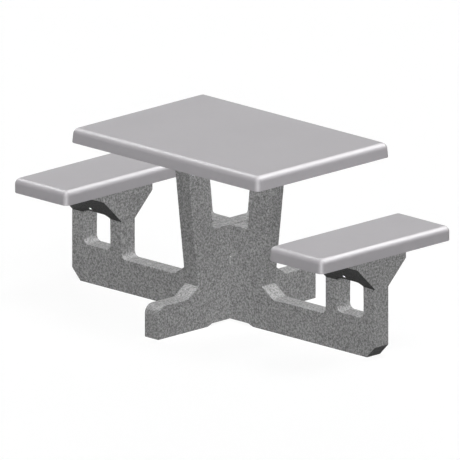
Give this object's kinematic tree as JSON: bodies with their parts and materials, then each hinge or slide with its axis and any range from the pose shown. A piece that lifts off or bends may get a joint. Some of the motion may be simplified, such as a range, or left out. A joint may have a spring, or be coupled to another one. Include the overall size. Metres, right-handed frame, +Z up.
{
  "type": "concrete table with seats",
  "caption": "Precast concrete table with a rounded slab top and a bench seat on each side, carried by crossed slab frames that slot together.",
  "frame": {"origin": "floor level, under the middle of the table", "axes": "+Z up, +X from the middle towards the right-hand seat, +Y along the seats"},
  "size_m": [1.728, 0.882, 0.749],
  "materials": {
    "cast_concrete": "light grey concrete, smooth from the mould",
    "slab_concrete": "mid grey concrete with a fine darker and lighter speckle",
    "galvanised_steel": "dull zinc grey",
    "rebar_steel": "brown mill scale"
  },
  "bodies": {
    "root": {"table_top": "cast_concrete", "top_rebar": "rebar_steel", "top_inserts": "galvanised_steel", "seat_left": "cast_concrete", "seat_left_rebar": "rebar_steel", "seat_left_inserts": "galvanised_steel", "seat_left_studs": "galvanised_steel", "seat_right": "cast_concrete", "seat_right_rebar": "rebar_steel", "seat_right_inserts": "galvanised_steel", "seat_right_studs": "galvanised_steel", "seat_frame": "slab_concrete", "seat_frame_rebar": "rebar_steel", "seat_frame_inserts": "galvanised_steel", "cross_frame": "slab_concrete", "cross_frame_rebar": "rebar_steel", "cross_frame_inserts": "galvanised_steel", "top_clip_right": "galvanised_steel", "top_clip_back": "galvanised_steel", "top_clip_left": "galvanised_steel", "top_clip_front": "galvanised_steel", "clip_top_bolts": "galvanised_steel", "clip_top_washers": "galvanised_steel", "clip_side_bolts": "galvanised_steel", "clip_side_washers": "galvanised_steel"}
  },
  "joints": []
}
